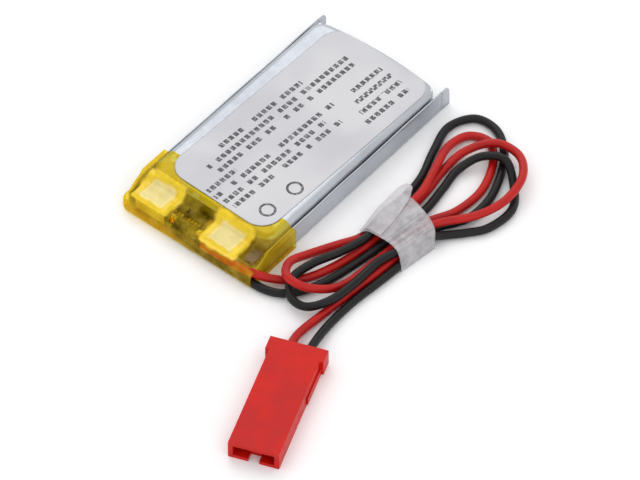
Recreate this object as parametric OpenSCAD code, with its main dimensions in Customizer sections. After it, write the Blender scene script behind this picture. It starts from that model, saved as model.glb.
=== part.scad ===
// Single-cell lithium-polymer pouch battery, 4.0 x 20 x 36 mm size class,
// with a protection board under end tape and a pair of leads to a two-way plug.
// +X is across the cell, +Y runs from the board end to the far end, +Z is up.
// The origin is the centre of the cell's footprint, on the surface it lies on.

/* [Pouch] */
// Width of the drawn cup, between the folded side flaps
cup_w = 19.4; // [19:0.1:19.6]
// Length of the drawn cup
cup_l = 33.6; // [33:0.1:34]
// Height from the resting surface to the top of the cup
cell_h = 4.0; // [3.9:0.1:4.2]
// Thickness of one layer of pouch foil
foil_t = 0.12; // [0.1:0.01:0.12]
// Height of the folded-up side flaps above the resting surface
flap_h = 3.3; // [3:0.1:3.6]
// How far the side flaps stick out past the cup's far end
flap_overhang = 1.2; // [0.6:0.1:1.3]
// Corner radius of the cup, seen from above
cup_r = 1.6; // [1:0.1:2]

/* [Electrode stack] */
// Number of coated aluminium sheets
cathodes = 6; // [4:1:6]
// Thickness of each coated sheet
plate_t = 0.2; // [0.15:0.01:0.2]
// Thickness of the separator film
film_t = 0.05; // [0.03:0.01:0.05]
// Width of each coated sheet
plate_w = 18; // [17:0.1:18]
// Length of each coated sheet
plate_l = 31.4; // [30:0.1:31.4]

/* [Tabs and board] */
// Width of the two tabs
tab_w = 4.6; // [4:0.1:5]
// Thickness of the two tabs
tab_t = 0.1; // [0.08:0.01:0.12]
// Length of the protection board, across the cell
board_l = 18.6; // [18:0.1:18.8]
// Thickness of the protection board
board_t = 0.8; // [0.6:0.1:0.8]

/* [Label and tape] */
// Width of the label film
label_w = 16.2; // [15:0.1:16.4]
// Length of the label film
label_l = 32.4; // [30:0.1:32.6]
// Corner radius of the label film
label_r = 2.8; // [2:0.1:3]
// Turn of the label against the cell, in degrees
label_turn = -1.5; // [-1.6:0.1:0]
// Thickness of the end tape and of the label film
tape_t = 0.1; // [0.06:0.01:0.1]

/* [Leads] */
// Outer diameter of each lead
lead_d = 1.1; // [1:0.05:1.1]
// Outer diameter of the bare strands
strand_d = 0.5; // [0.4:0.05:0.6]

/* [Plug] */
// Length of the plug housing
plug_l = 17.2; // [17:0.1:18]
// Width of the plug housing
plug_w = 6.4; // [6.2:0.1:6.6]
// Height of the plug housing
plug_h = 2.6; // [2.5:0.1:2.8]
// Distance between the two contacts
pitch = 2.5; // [2.4:0.05:2.6]

/* [Hidden] */
$fn = 32;
eps = 0.01;

// Lengths along the cell, from the tape's front to the flaps' far end
half_l = 19.9;                        // half of the whole length
far_y = half_l - flap_overhang - 0.1; // far end of the cup
cup_y = far_y - cup_l;                // front wall of the cup
seal_y = -18.4;                       // front edge of the sealed terrace
base_z = tape_t;                      // underside of the pouch, above the tape
flap_x = cup_w / 2 + 0.5;             // outer face of the side flaps
tape_x = flap_x + 0.5;                // outer face of the end tape

// Electrode stack: one more anode than cathodes, separator between all of them
sheets = 2 * cathodes + 1;
sheet_step = plate_t + film_t;
stack_z = base_z + 2 * foil_t + 0.1;
stack_h = sheets * sheet_step + film_t;
plate_y = cup_y + 1.1;                // front edge of the coated sheets
tail_l = 0.4;                         // bare foil tails in front of the coating
collector_t = 0.2;                    // welded stack of foil tails

// Tabs, seen from above: the positive tab is on the right
tab_x = [4.3, -6.6];                  // positive, negative
tab_z = base_z + foil_t + 0.1;
fold_y = -18.6;                       // front of the folded tabs
board_y = -16.8;                      // centre line of the board
board_w = 3.2;
board_z = 0.85;
board_top = board_z + board_t;
weld_t = 0.35;
tab_top = board_top + weld_t;

// Places where the leads are soldered, and where the leads lie in front of the board
lead_y = -19.2;
lead_z = 1.95;
red_x = 2.4;
black_x = -2.4;

// Lead tie: a strip of tape wrapped round all eight strands, seen from above
tie_outline = [[15.4, -5.2], [20.3, -4.8], [23.2, -6.0], [24.0, -0.4], [21.8, 1.6], [15.4, 3.2]];
tie_room = [[15.52, -8], [22.8, -8], [24.8, 6], [15.52, 6]]; // space inside it for the strands
flag = [[15.4, -4.9], [18.8, 4.2]];   // corners of the free end, which lies on top
tie_top = 2.7;
tie_bottom_t = 0.04;
tie_wall = 0.12;

// Plug: the wires enter at this point, and the mouth looks away from it
plug_at = [22.0, -24.2, 0];
plug_turn = 21;
wire_z = 1.3;                         // height of the contacts inside the plug
crimp_y = -1.5;                       // where each lead meets its contact
ear_w = 0.5;
ear_l = 2.0;

lead_rings = 79;
lead_sides = 8;

// Each lead runs from the board past the tie, round both right loops and the left
// loop, passing the tie four times, and ends in the plug.
red_route = [
    [2.4, -19.2, 1.95], [5.6, -19.2, 2.0], [9.4, -19.0, 2.0], [12.4, -17.2, 1.0], [14.8, -14.6, 0.6],
    [16.3, -11.2, 0.6], [17.2, -7.0, 0.6], [17.5, -3.6, 0.7], [17.7, 0.4, 1.8], [17.8, 4.6, 1.8],
    [16.5, 9.2, 1.8], [15.2, 13.2, 1.1], [15.7, 16.6, 0.6], [18.4, 17.5, 0.6], [21.0, 14.9, 0.6],
    [22.7, 10.4, 0.6], [22.4, 5.8, 0.6], [20.7, 2.0, 0.6], [20.2, -2.0, 0.6], [19.9, -6.6, 0.6],
    [19.4, -11.4, 0.6], [18.8, -14.6, 1.6], [16.9, -17.1, 2.8], [14.2, -17.2, 3.0], [12.7, -14.8, 2.3],
    [13.0, -11.4, 1.0], [14.4, -8.0, 0.6], [16.0, -5.0, 0.6], [16.5, -1.8, 0.6], [17.6, 1.8, 0.6],
    [17.5, 6.0, 0.6], [16.9, 10.2, 0.6], [17.4, 14.0, 1.2], [19.8, 16.9, 1.9], [23.3, 17.2, 1.8],
    [26.0, 14.4, 2.1], [26.6, 10.2, 1.8], [25.4, 6.0, 1.8], [22.5, 2.0, 1.8], [21.5, -0.8, 1.7],
    [21.4, -3.6, 0.6], [21.1, -8.4, 0.6], [20.6, -13.2, 0.6], [20.2, -17.6, 0.6], [20.0, -21.4, 0.8],
    [20.5, -23.7, 1.3], [21.4, -26.0, 1.3]
];
black_route = [
    [-2.4, -19.2, 1.95], [0.2, -19.2, 1.1], [3.0, -19.2, 0.7], [8.0, -19.2, 0.7], [12.4, -19.0, 0.6],
    [15.2, -17.3, 0.6], [17.1, -13.6, 0.6], [18.1, -9.2, 0.6], [18.7, -4.8, 0.6], [18.9, -0.6, 0.6],
    [19.3, 3.6, 0.6], [18.8, 7.6, 0.6], [18.4, 11.2, 0.8], [19.8, 14.2, 1.7], [22.6, 15.4, 1.9],
    [25.6, 13.3, 0.6], [27.6, 10.2, 0.6], [27.2, 6.2, 0.6], [25.4, 3.6, 0.6], [23.8, 1.6, 0.8],
    [22.9, -0.8, 1.8], [22.0, -3.6, 1.8], [20.8, -7.4, 1.8], [20.7, -12.2, 1.8], [20.2, -16.2, 1.9],
    [18.3, -18.5, 1.4], [16.0, -18.6, 1.6], [14.4, -16.4, 1.9], [14.7, -13.0, 1.8], [16.3, -9.2, 1.9],
    [17.2, -5.2, 1.9], [16.4, -1.2, 1.9], [16.1, 2.8, 0.8], [15.6, 7.2, 0.6], [14.0, 11.8, 0.6],
    [12.9, 16.2, 0.6], [14.6, 19.5, 0.6], [18.0, 19.6, 0.6], [21.2, 17.0, 0.6], [23.2, 13.4, 0.6],
    [24.4, 9.6, 0.6], [24.2, 5.6, 0.6], [22.2, 2.0, 0.6], [22.4, -0.8, 0.6], [22.6, -3.6, 0.6],
    [22.3, -8.6, 0.6], [21.8, -13.6, 0.6], [21.9, -18.6, 0.7], [22.8, -22.8, 1.3], [23.7, -25.1, 1.3]
];

// Point number i of a route, held at both ends
function knot(route, i) = route[max(0, min(len(route) - 1, i))];

// Smooth curve through the route's points: u counts the points, from 0
function along(route, u) =
    let (i = min(floor(u), len(route) - 2), t = u - i)
    let (a = knot(route, i - 1), b = knot(route, i), c = knot(route, i + 1), d = knot(route, i + 2))
    0.5 * (2 * b + (c - a) * t + (2 * a - 5 * b + 4 * c - d) * t * t
        + (3 * b - a - 3 * c + d) * t * t * t);

function unit(v) = v / norm(v);

// One ring of the tube, square to the route
function ring(route, u) =
    let (last = len(route) - 1)
    let (dir = unit(along(route, min(last, u + 0.05)) - along(route, max(0, u - 0.05))))
    let (side = unit(cross(dir, [0, 0, 1])), up = cross(side, dir))
    [for (k = [0 : lead_sides - 1])
        let (a = 360 * (k + 0.5) / lead_sides)
        along(route, u) + lead_d / 2 * (cos(a) * side + sin(a) * up)];

// Round tube swept along a route
module lead(route) {
    step = (len(route) - 1) / (lead_rings - 1);
    points = [for (i = [0 : lead_rings - 1]) each ring(route, i * step)];
    walls = [for (i = [0 : lead_rings - 2], k = [0 : lead_sides - 1])
        let (a = i * lead_sides + k, b = i * lead_sides + (k + 1) % lead_sides)
        each [[a, b, b + lead_sides], [a, b + lead_sides, a + lead_sides]]];
    start_cap = [for (k = [lead_sides - 1 : -1 : 0]) k];
    end_cap = [for (k = [0 : lead_sides - 1]) (lead_rings - 1) * lead_sides + k];
    polyhedron(points, concat([start_cap], walls, [end_cap]));
}

// Box from its lowest to its highest corner
module block(low, high) {
    translate(low)
        cube(high - low);
}

// Rectangle with round corners, centred on the origin
module round_rect(w, l, r) {
    square([w, l - 2 * r], center = true);
    square([w - 2 * r, l], center = true);
    for (x = [-1, 1], y = [-1, 1])
        translate([x * (w / 2 - r), y * (l / 2 - r)])
            circle(r);
}

// Solid with the cup's shape: upright walls, a chamfered shoulder and a flat top
module cup_solid(inset, top) {
    shoulder = 0.6;
    translate([0, cup_y + cup_l / 2, 0]) {
        translate([0, 0, base_z + foil_t])
            linear_extrude(top - shoulder - base_z - foil_t)
                round_rect(cup_w - 2 * inset, cup_l - 2 * inset, cup_r);
        hull() {
            translate([0, 0, top - shoulder - eps])
                linear_extrude(eps)
                    round_rect(cup_w - 2 * inset, cup_l - 2 * inset, cup_r);
            translate([0, 0, top - eps])
                linear_extrude(eps)
                    round_rect(cup_w - 2 * inset - 1.6, cup_l - 2 * inset - 1.6, cup_r);
        }
    }
}

// Upright side flap: one foil layer whose outer face is at x, with a round far corner
module flap(x) {
    corner_r = 0.8;
    for (s = [-1, 1])
        translate([s > 0 ? x - foil_t : -x, 0, 0])
            rotate([90, 0, 90])
                linear_extrude(foil_t)
                    union() {
                        translate([seal_y, base_z])
                            square([half_l - corner_r - seal_y, flap_h - base_z]);
                        translate([half_l - corner_r - eps, base_z])
                            square([corner_r + eps, flap_h - corner_r - base_z]);
                        translate([half_l - corner_r, flap_h - corner_r])
                            circle(corner_r);
                    }
}

// Flat foil sheet that closes the cup from below, with the outer layer of both flaps
module pouch_cover() {
    color([0.76, 0.79, 0.83]) {
        block([-flap_x, seal_y, base_z], [flap_x, far_y, base_z + foil_t]);
        flap(flap_x);
    }
}

// Drawn foil cup, open below, with the inner layer of the terrace and of both flaps
module pouch_cup() {
    inner_x = flap_x - foil_t;
    color([0.78, 0.81, 0.85]) {
        difference() {
            cup_solid(0, cell_h);
            translate([0, 0, -eps])
                cup_solid(foil_t, cell_h - foil_t + eps);
        }
        difference() {
            block([-inner_x, seal_y, base_z + foil_t], [inner_x, cup_y + eps, tab_z]);
            tab_channels();
        }
        for (s = [-1, 1])
            block([s > 0 ? cup_w / 2 - eps : -inner_x, cup_y, base_z + foil_t],
                [s > 0 ? inner_x : -cup_w / 2 + eps, far_y, base_z + 2 * foil_t]);
        inner_flap(inner_x);
    }
}

// Inner layer of the flaps, standing on the flange
module inner_flap(x) {
    intersection() {
        flap(x);
        block([-x, seal_y, base_z + foil_t], [x, half_l, flap_h]);
    }
}

// Room for the sealed tabs through the terrace and the cup's front wall
module tab_channels() {
    for (x = tab_x)
        block([x - tab_w / 2 - 0.3, seal_y - 1, base_z + foil_t - eps],
            [x + tab_w / 2 + 0.3, cup_y + 1, base_z + foil_t + 0.3]);
}

// Sheet number i of the stack, counted from the bottom, with its bare tail
module sheet(i, x) {
    z = stack_z + film_t + i * sheet_step;
    block([-plate_w / 2, plate_y, z], [plate_w / 2, plate_y + plate_l, z + plate_t]);
    block([x - 1.6, plate_y - tail_l, z], [x + 1.6, plate_y, z + plate_t]);
}

// Coated copper sheets, joined in front of the negative tab
module anode_plates() {
    x = tab_x[1];
    color([0.22, 0.22, 0.24]) {
        for (i = [0 : 2 : sheets - 1])
            sheet(i, x);
        block([x - 1.6, plate_y - tail_l - collector_t, tab_z],
            [x + 1.6, plate_y - tail_l, stack_z + stack_h - film_t]);
    }
}

// Coated aluminium sheets, joined in front of the positive tab
module cathode_plates() {
    x = tab_x[0];
    color([0.3, 0.3, 0.32]) {
        for (i = [1 : 2 : sheets - 2])
            sheet(i, x);
        block([x - 1.6, plate_y - tail_l - collector_t, tab_z],
            [x + 1.6, plate_y - tail_l, stack_z + stack_h - sheet_step - film_t]);
    }
}

// One long film folded back and forth between the sheets
module separator() {
    wide = plate_w / 2 + 0.2;
    color([0.95, 0.95, 0.93])
        for (i = [0 : sheets]) {
            z = stack_z + i * sheet_step;
            block([-wide, plate_y, z], [wide, plate_y + plate_l + 0.2, z + film_t]);
            if (i < sheets) {
                x = i % 2 == 0 ? wide - film_t : -wide;
                block([x, plate_y, z], [x + film_t, plate_y + plate_l + 0.2, z + sheet_step + film_t]);
            }
        }
}

// Band of tape that keeps the folded stack together
module stack_tape() {
    t = 0.06;
    w = plate_w / 2 + 0.2;
    y = plate_y + plate_l / 2;
    top = stack_z + stack_h;
    color([0.2, 0.55, 0.4])
        difference() {
            block([-w - t, y - 5, stack_z - t], [w + t, y + 5, top + t]);
            block([-w, y - 6, stack_z], [w, y + 6, top]);
        }
}

// Metal strip from the foil tails through the seal, folded up and back over the board
module tab(x) {
    low = x - tab_w / 2;
    high = x + tab_w / 2;
    block([low, fold_y, tab_z], [high, plate_y - tail_l - collector_t, tab_z + tab_t]);
    block([low, fold_y, tab_z], [high, fold_y + tab_t, tab_top + tab_t]);
    block([low, fold_y, tab_top], [high, board_y + board_w / 2, tab_top + tab_t]);
}

module positive_tab() {
    color([0.85, 0.85, 0.86])
        tab(tab_x[0]);
}

module negative_tab() {
    color([0.8, 0.79, 0.74])
        tab(tab_x[1]);
}

// Sealing film under the tab, where it passes between the two foils
module tab_film(x) {
    color([0.9, 0.88, 0.8])
        block([x - tab_w / 2 - 0.3, seal_y, base_z + foil_t], [x + tab_w / 2 + 0.3, cup_y - 0.1, tab_z]);
}

module positive_tab_film() {
    tab_film(tab_x[0]);
}

module negative_tab_film() {
    tab_film(tab_x[1]);
}

// Foam strip that keeps the board off the terrace
module board_pad() {
    color([0.9, 0.9, 0.85])
        block([-board_l / 2, board_y - 1.4, tab_z + tab_t], [board_l / 2, board_y + 1.4, board_z]);
}

module protection_board() {
    color([0.1, 0.35, 0.2])
        block([-board_l / 2, board_y - board_w / 2, board_z], [board_l / 2, board_y + board_w / 2, board_top]);
}

// Nickel plate between the board and a folded tab
module weld_plate(x) {
    color([0.82, 0.8, 0.74])
        block([x - 2, board_y - 1.3, board_top], [x + 2, board_y + 1.4, tab_top]);
}

module positive_weld_plate() {
    weld_plate(tab_x[0]);
}

module negative_weld_plate() {
    weld_plate(tab_x[1]);
}

// Six-legged control chip
module protection_ic() {
    at = [-3.1, board_y + 0.5];
    color([0.12, 0.12, 0.12])
        translate([at[0] - 0.8, at[1] - 0.6, board_top + 0.1])
            cube([1.6, 1.2, 0.7]);
    color([0.8, 0.78, 0.7])
        for (i = [-1 : 1], s = [-1, 1])
            translate([at[0] + i * 0.5 - 0.15, at[1] + s * 0.75 - 0.15, board_top])
                cube([0.3, 0.3, 0.3]);
}

// Dual power transistor that opens the negative line
module mosfet() {
    at = [-0.7, board_y + 0.5];
    color([0.12, 0.12, 0.12])
        translate([at[0] - 1.1, at[1] - 0.6, board_top + 0.1])
            cube([2.2, 1.2, 0.8]);
    color([0.8, 0.78, 0.7])
        for (i = [-1.5 : 1.5], s = [-1, 1])
            translate([at[0] + i * 0.5 - 0.15, at[1] + s * 0.75 - 0.15, board_top])
                cube([0.3, 0.3, 0.3]);
}

// Small part with two soldered ends, lying along Y
module chip_part(x, y, h) {
    color([0.75, 0.73, 0.68])
        for (s = [0, 1])
            translate([x - 0.25, y - 0.5 + s * 0.7, board_top])
                cube([0.5, 0.3, h]);
    color([0.35, 0.27, 0.2])
        translate([x - 0.22, y - 0.3, board_top])
            cube([0.44, 0.6, h - 0.04]);
}

module resistors() {
    for (x = [0.85, 1.55])
        chip_part(x, board_y + 0.9, 0.35);
}

module capacitors() {
    chip_part(-4.25, board_y - 1.0, 0.5);
}

// Solder mound on the edge of the board
module solder(x) {
    color([0.78, 0.78, 0.76])
        intersection() {
            translate([x, board_y - 1.0, board_top - 0.2])
                scale(0.75)
                    sphere(1);
            block([x - 1, board_y - 1.6, board_top], [x + 1, board_y + 1, board_top + 1]);
        }
}

module positive_solder() {
    solder(red_x - 1.5);
}

module negative_solder() {
    solder(black_x - 1.0);
}

// Bare strands from the end of a lead to its solder mound
module strands(x, reach) {
    lift = board_top + 0.4 - lead_z;
    color([0.85, 0.55, 0.35])
        translate([x - 0.2, lead_y + 0.35, lead_z])
            rotate([0, 90, atan2(0.55, -reach)])
                cylinder(d = strand_d, h = norm([reach, 0.55, lift]));
}

module red_strands() {
    strands(red_x, 1.0);
}

module black_strands() {
    strands(black_x, 0.6);
}

// Side view of the end tape, shrunk by an inset
module tape_outline(inset) {
    top = cell_h + tape_t - inset;
    front = -half_l + inset;
    open_end = inset > 0 ? 1 : 0;
    polygon([
        [-11 + open_end, inset], [front + 0.3, inset], [front, 0.3 + inset / 2], [front, 2.5],
        [front + 0.6, 3.05 - inset], [-16, 3.3 - inset], [cup_y, top], [-11 + open_end, top]
    ]);
}

// Heat-proof film wrapped over the board end and both flaps, open where the leads leave
module end_tape() {
    color([0.8, 0.68, 0.15, 0.6]) {
        rotate([90, 0, 90])
            translate([0, 0, -tape_x])
                linear_extrude(2 * tape_x)
                    difference() {
                        tape_outline(0);
                        tape_outline(tape_t);
                    }
        for (x = [-tape_x, tape_x - tape_t])
            block([x, -17.6, tape_t - eps], [x + tape_t, -11, 3.25]);
        block([-tape_x, -half_l + 0.4, tape_t - eps], [-tape_x + tape_t, -17.5, 2.6]);
    }
}

// Printed film stuck on the cup, lying over the edge of the end tape
module label() {
    color([0.85, 0.85, 0.86])
        translate([0.5, 2.1, 0])
            rotate([0, 0, label_turn]) {
                translate([0, 0, cell_h + tape_t])
                    linear_extrude(tape_t)
                        intersection() {
                            round_rect(label_w, label_l, label_r);
                            translate([-label_w, -label_l])
                                square([2 * label_w, label_l - 12.4]);
                        }
                translate([0, 0, cell_h])
                    linear_extrude(tape_t + eps)
                        intersection() {
                            round_rect(label_w, label_l, label_r);
                            translate([-label_w, -12.4])
                                square([2 * label_w, 2 * label_l]);
                        }
            }
}

module red_lead() {
    color([0.75, 0.16, 0.14])
        lead(red_route);
}

module black_lead() {
    color([0.1, 0.1, 0.11])
        lead(black_route);
}

// Strip of tape wrapped round the strands, its free end pressed flat as a flag
module lead_tie() {
    color([0.85, 0.83, 0.84]) {
        difference() {
            linear_extrude(tie_top)
                polygon(tie_outline);
            translate([0, 0, tie_bottom_t])
                linear_extrude(tie_top - tie_wall - tie_bottom_t)
                    polygon(tie_room);
        }
        block([flag[0][0], flag[0][1], tie_top - eps], [flag[1][0], flag[1][1], tie_top + 0.2]);
    }
}

// Moves children into the plug's own place: the mouth looks along its -Y
module at_plug() {
    translate(plug_at)
        rotate([0, 0, plug_turn])
            children();
}

// Flat two-way housing: ears at the wire end, a wire hole and a cell for each contact
module connector_housing() {
    hole_r = lead_d / 2 + 0.2;
    cell_w2 = 0.95;
    cell_z = [wire_z - 0.8, wire_z + 0.8];
    mouth_l = 6.5;
    color([0.82, 0.2, 0.13])
        at_plug()
            difference() {
                union() {
                    block([-plug_w / 2, -plug_l, 0], [plug_w / 2, 0, plug_h]);
                    block([-plug_w / 2 - ear_w, -ear_l, 0.3], [plug_w / 2 + ear_w, 0, plug_h]);
                    block([plug_w / 2 - eps, -7, 0.3], [plug_w / 2 + 0.2, 0, 1.4]);
                }
                for (s = [-1, 1])
                    translate([s * pitch / 2, 0, wire_z]) {
                        translate([0, 1, 0])
                            rotate([90, 0, 0])
                                cylinder(r = hole_r, h = 4);
                        block([-cell_w2, -plug_l + mouth_l - 1, cell_z[0] - wire_z],
                            [cell_w2, -1.4, cell_z[1] - wire_z]);
                    }
                block([-plug_w / 2 + 0.6, -plug_l - 1, cell_z[0]],
                    [plug_w / 2 - 0.6, -plug_l + mouth_l, cell_z[1]]);
                block([-0.7, -plug_l - 1, -1], [0.7, -plug_l + 1.2, cell_z[0] + eps]);
            }
}

// Crimped contact: barrel on the lead, then a tapered pin into the mouth
module contact(side) {
    color([0.85, 0.75, 0.5])
        at_plug()
            translate([side * pitch / 2, crimp_y, wire_z]) {
                rotate([90, 0, 0])
                    cylinder(r = 0.6, h = 3);
                block([-0.7, -8.6, -0.7], [0.7, -3 + eps, 0.7]);
                rotate([90, 0, 0])
                    translate([0, 0, 8.6 - eps])
                        cylinder(r = 0.4, h = 4);
                rotate([90, 0, 0])
                    translate([0, 0, 12.6 - eps])
                        cylinder(r1 = 0.4, r2 = 0.2, h = 0.5);
            }
}

module positive_contact() {
    contact(-1);
}

module negative_contact() {
    contact(1);
}

pouch_cover();
pouch_cup();
anode_plates();
cathode_plates();
separator();
stack_tape();
positive_tab();
negative_tab();
positive_tab_film();
negative_tab_film();
board_pad();
protection_board();
positive_weld_plate();
negative_weld_plate();
protection_ic();
mosfet();
resistors();
capacitors();
positive_solder();
negative_solder();
end_tape();
label();
red_lead();
black_lead();
red_strands();
black_strands();
lead_tie();
connector_housing();
positive_contact();
negative_contact();
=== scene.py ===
import math

import bmesh
import bpy
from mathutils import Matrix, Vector, noise


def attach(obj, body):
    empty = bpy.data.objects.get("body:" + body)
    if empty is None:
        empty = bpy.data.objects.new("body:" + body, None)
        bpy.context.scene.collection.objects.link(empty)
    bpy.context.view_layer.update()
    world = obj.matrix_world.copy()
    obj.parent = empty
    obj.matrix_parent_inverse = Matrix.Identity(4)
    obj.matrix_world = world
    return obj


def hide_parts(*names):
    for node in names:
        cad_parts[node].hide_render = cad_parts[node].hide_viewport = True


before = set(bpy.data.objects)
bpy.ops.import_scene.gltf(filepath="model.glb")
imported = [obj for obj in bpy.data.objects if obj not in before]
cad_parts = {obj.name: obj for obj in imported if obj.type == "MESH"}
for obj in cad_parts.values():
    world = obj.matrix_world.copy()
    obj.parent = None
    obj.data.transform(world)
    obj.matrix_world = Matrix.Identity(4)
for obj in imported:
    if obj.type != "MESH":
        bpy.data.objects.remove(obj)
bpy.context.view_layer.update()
MM = 0.001

# %% [markdown]
# ## The camera
# A product shot of something this small is taken from far off with a long lens, so that
# parallel edges stay nearly parallel. The camera could be placed by eye. Here its angle
# round the part, its height and its distance are three numbers, and the rest follows.
# %% Camera
AZIMUTH, ELEVATION = math.radians(39.349), math.radians(48.827)
DISTANCE, LENS = 0.600, 273.95
TARGET = Vector((0.01202, -0.00815, 0.0))


def place_camera():
    away = Vector((
        math.sin(AZIMUTH) * math.cos(ELEVATION),
        -math.cos(AZIMUTH) * math.cos(ELEVATION),
        math.sin(ELEVATION),
    ))
    data = bpy.data.cameras.new("camera")
    data.lens, data.sensor_width = LENS, 36.0
    camera = bpy.data.objects.new("camera", data)
    camera.location = TARGET + away * DISTANCE
    camera.rotation_euler = away.to_track_quat("Z", "Y").to_euler()
    bpy.context.scene.collection.objects.link(camera)
    bpy.context.scene.camera = camera
    return camera


print("camera at", tuple(round(c, 3) for c in place_camera().location))

# %% [markdown]
# ## Helpers for meshes
# Most soft pieces here are lofts: a row of outlines with equally many points, joined by
# four-sided faces. They could be sculpted, but a loft of measured outlines keeps the size.
# %% Lofts and pieces


def loft(outlines, ring=True, caps=True):
    count = len(outlines[0])
    points = [p for outline in outlines for p in outline]
    faces = []
    for row in range(len(outlines) - 1):
        for k in range(count if ring else count - 1):
            a, b = row * count + k, row * count + (k + 1) % count
            faces.append((a, b, b + count, a + count))
    if caps:
        faces.append(tuple(range(count)))
        faces.append(tuple(range(len(points) - count, len(points))))
    return points, faces


def joined(*shells):
    """Several meshes as one list of points and one of faces."""
    points, faces = [], []
    for more_points, more_faces in shells:
        faces += [tuple(len(points) + i for i in face) for face in more_faces]
        points += more_points
    return points, faces


def make_piece(name, shape, material, nodes):
    """An object from points in millimetres, with even normals, riding on the only body."""
    points, faces = shape
    mesh = bpy.data.meshes.new(name)
    mesh.from_pydata([tuple(c * MM for c in p) for p in points], [], faces)
    work = bmesh.new()
    work.from_mesh(mesh)
    bmesh.ops.recalc_face_normals(work, faces=work.faces)
    work.to_mesh(mesh)
    work.free()
    mesh.polygons.foreach_set("use_smooth", [True] * len(mesh.polygons))
    mesh.materials.append(material)
    piece = bpy.data.objects.new(name, mesh)
    bpy.context.scene.collection.objects.link(piece)
    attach(piece, "root")
    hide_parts(*nodes)
    print(name, "has", len(mesh.polygons), "faces")
    return piece


def steps(start, end, count):
    return [start + (end - start) * i / count for i in range(count + 1)]


def round_rectangle(wide, long, r, arc, across, down):
    """Outline from half sizes and a corner radius, with so many steps on each stretch."""
    corners = ((1, 1), (-1, 1), (-1, -1), (1, -1))
    points = []
    for i, (sx, sy) in enumerate(corners):
        for a in map(math.radians, steps(90 * i, 90 * i + 90, arc)):
            points.append((sx * (wide - r) + r * math.cos(a), sy * (long - r) + r * math.sin(a)))
        nx, ny = corners[(i + 1) % 4]
        x0, y0 = points[-1]
        x1 = nx * (wide - r) + r * math.cos(math.radians(90 * i + 90))
        y1 = ny * (long - r) + r * math.sin(math.radians(90 * i + 90))
        count = down if i % 2 else across
        points += [(x0 + (x1 - x0) * k / count, y0 + (y1 - y0) * k / count)
                   for k in range(1, count)]
    return points


def climb(value, low, high):
    """0 below low, 1 above high, and a smooth S between."""
    t = max(0.0, min(1.0, (value - low) / (high - low)))
    return t * t * (3 - 2 * t)


def hump(value, centre, reach, soft):
    """1 within reach of centre, falling to 0 over the soft distance."""
    return 1 - climb(abs(value - centre), reach, reach + soft)


def ripple(x, y, scale, seed):
    """Smooth noise from about -1 to 1."""
    return noise.noise(Vector((x * scale, y * scale, seed)))


# %% [markdown]
# ## A small language for materials
# Every finish below is a procedural material: noise and simple sums on the place of a point
# on the object, with no pictures. Node trees get hard to read, so one class wraps a socket.
# Adding or multiplying two of them adds a Math node, and any other node is added by `node`,
# which sets its options first and then fills its sockets.
# %% A socket that can be used in sums


class Value:
    def __init__(self, socket):
        self.socket = socket

    def node(self, kind, options=None, sockets=None, out=0):
        tree = self.socket.id_data
        new = tree.nodes.new("ShaderNode" + kind)
        for name, option in (options or {}).items():
            if name == "stops":
                ramp = new.color_ramp.elements
                while len(ramp) < len(option):
                    ramp.new(0.5)
                for stop, (at, colour) in zip(ramp, option):
                    stop.position, stop.color = at, colour
            else:
                setattr(new, name, option)
        for name, value in (sockets or {}).items():
            if isinstance(value, Value):
                tree.links.new(value.socket, new.inputs[name])
            else:
                new.inputs[name].default_value = value
        return Value(new.outputs[out])

    def math(self, operation, *others):
        """A Math node with this value as its first term."""
        return self.node("Math", {"operation": operation}, dict(enumerate((self, *others))))

    def __add__(self, other):
        return self.math("ADD", other)

    def __sub__(self, other):
        return self.math("SUBTRACT", other)

    def __rsub__(self, other):
        return self.node("Math", {"operation": "SUBTRACT"}, {0: other, 1: self})

    def __mul__(self, other):
        return self.math("MULTIPLY", other)

    __radd__ = __add__
    __rmul__ = __mul__

    def near(self, centre, reach):
        """1 where this value is within reach of centre, otherwise 0."""
        return self.math("COMPARE", centre, reach)

    def apart(self, centre):
        """How far this value is from centre, either way."""
        return (self - centre).math("ABSOLUTE")

    def ramp(self, low, high, start=0.0, end=1.0):
        """A smooth climb from start at low to end at high."""
        return self.node("MapRange", {"interpolation_type": "SMOOTHSTEP"}, {
            "Value": self, "From Min": low, "From Max": high, "To Min": start, "To Max": end,
        })

    def noise(self, scale, detail=2.0, rough=0.5):
        return self.node("TexNoise", {}, {
            "Vector": self, "Scale": scale, "Detail": detail, "Roughness": rough,
        })

    def stretched(self, x, y, z):
        return self.node("VectorMath", {"operation": "MULTIPLY"}, {0: self, 1: (x, y, z)})

    def between(self, first, second):
        """A colour between two others, with this value as the share of the second."""
        return self.node("Mix", {"data_type": "RGBA"}, {0: self, 6: first, 7: second}, out=2)


def total(values):
    """The sum of a list of values."""
    result, *rest = values
    for value in rest:
        result = result + value
    return result


def colour(red, green, blue):
    """A colour from its 0 to 255 display values, as the linear light that shaders use."""
    return tuple(
        (c / 255 / 12.92) if c < 10 else ((c / 255 + 0.055) / 1.055) ** 2.4
        for c in (red, green, blue)
    ) + (1.0,)


# %% Starting and filling a finish


def start_finish(name):
    """A new material, its Principled shader, and each point's place in millimetres."""
    material = bpy.data.materials.new(name)
    material.use_nodes = True
    tree = material.node_tree
    spot = Value(tree.nodes.new("ShaderNodeTexCoord").outputs["Object"])
    place = spot.node("VectorMath", {"operation": "SCALE"}, {0: spot, "Scale": 1 / MM})
    return material, tree.nodes["Principled BSDF"], place


def fill(shader, **sockets):
    for name, value in sockets.items():
        socket = shader.inputs[name.replace("_", " ")]
        if isinstance(value, Value):
            shader.id_data.links.new(value.socket, socket)
        else:
            socket.default_value = value


def relief(height, depth):
    """A bump whose full height is depth millimetres."""
    return height.node("Bump", {}, {"Height": height, "Distance": depth * MM})


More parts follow.
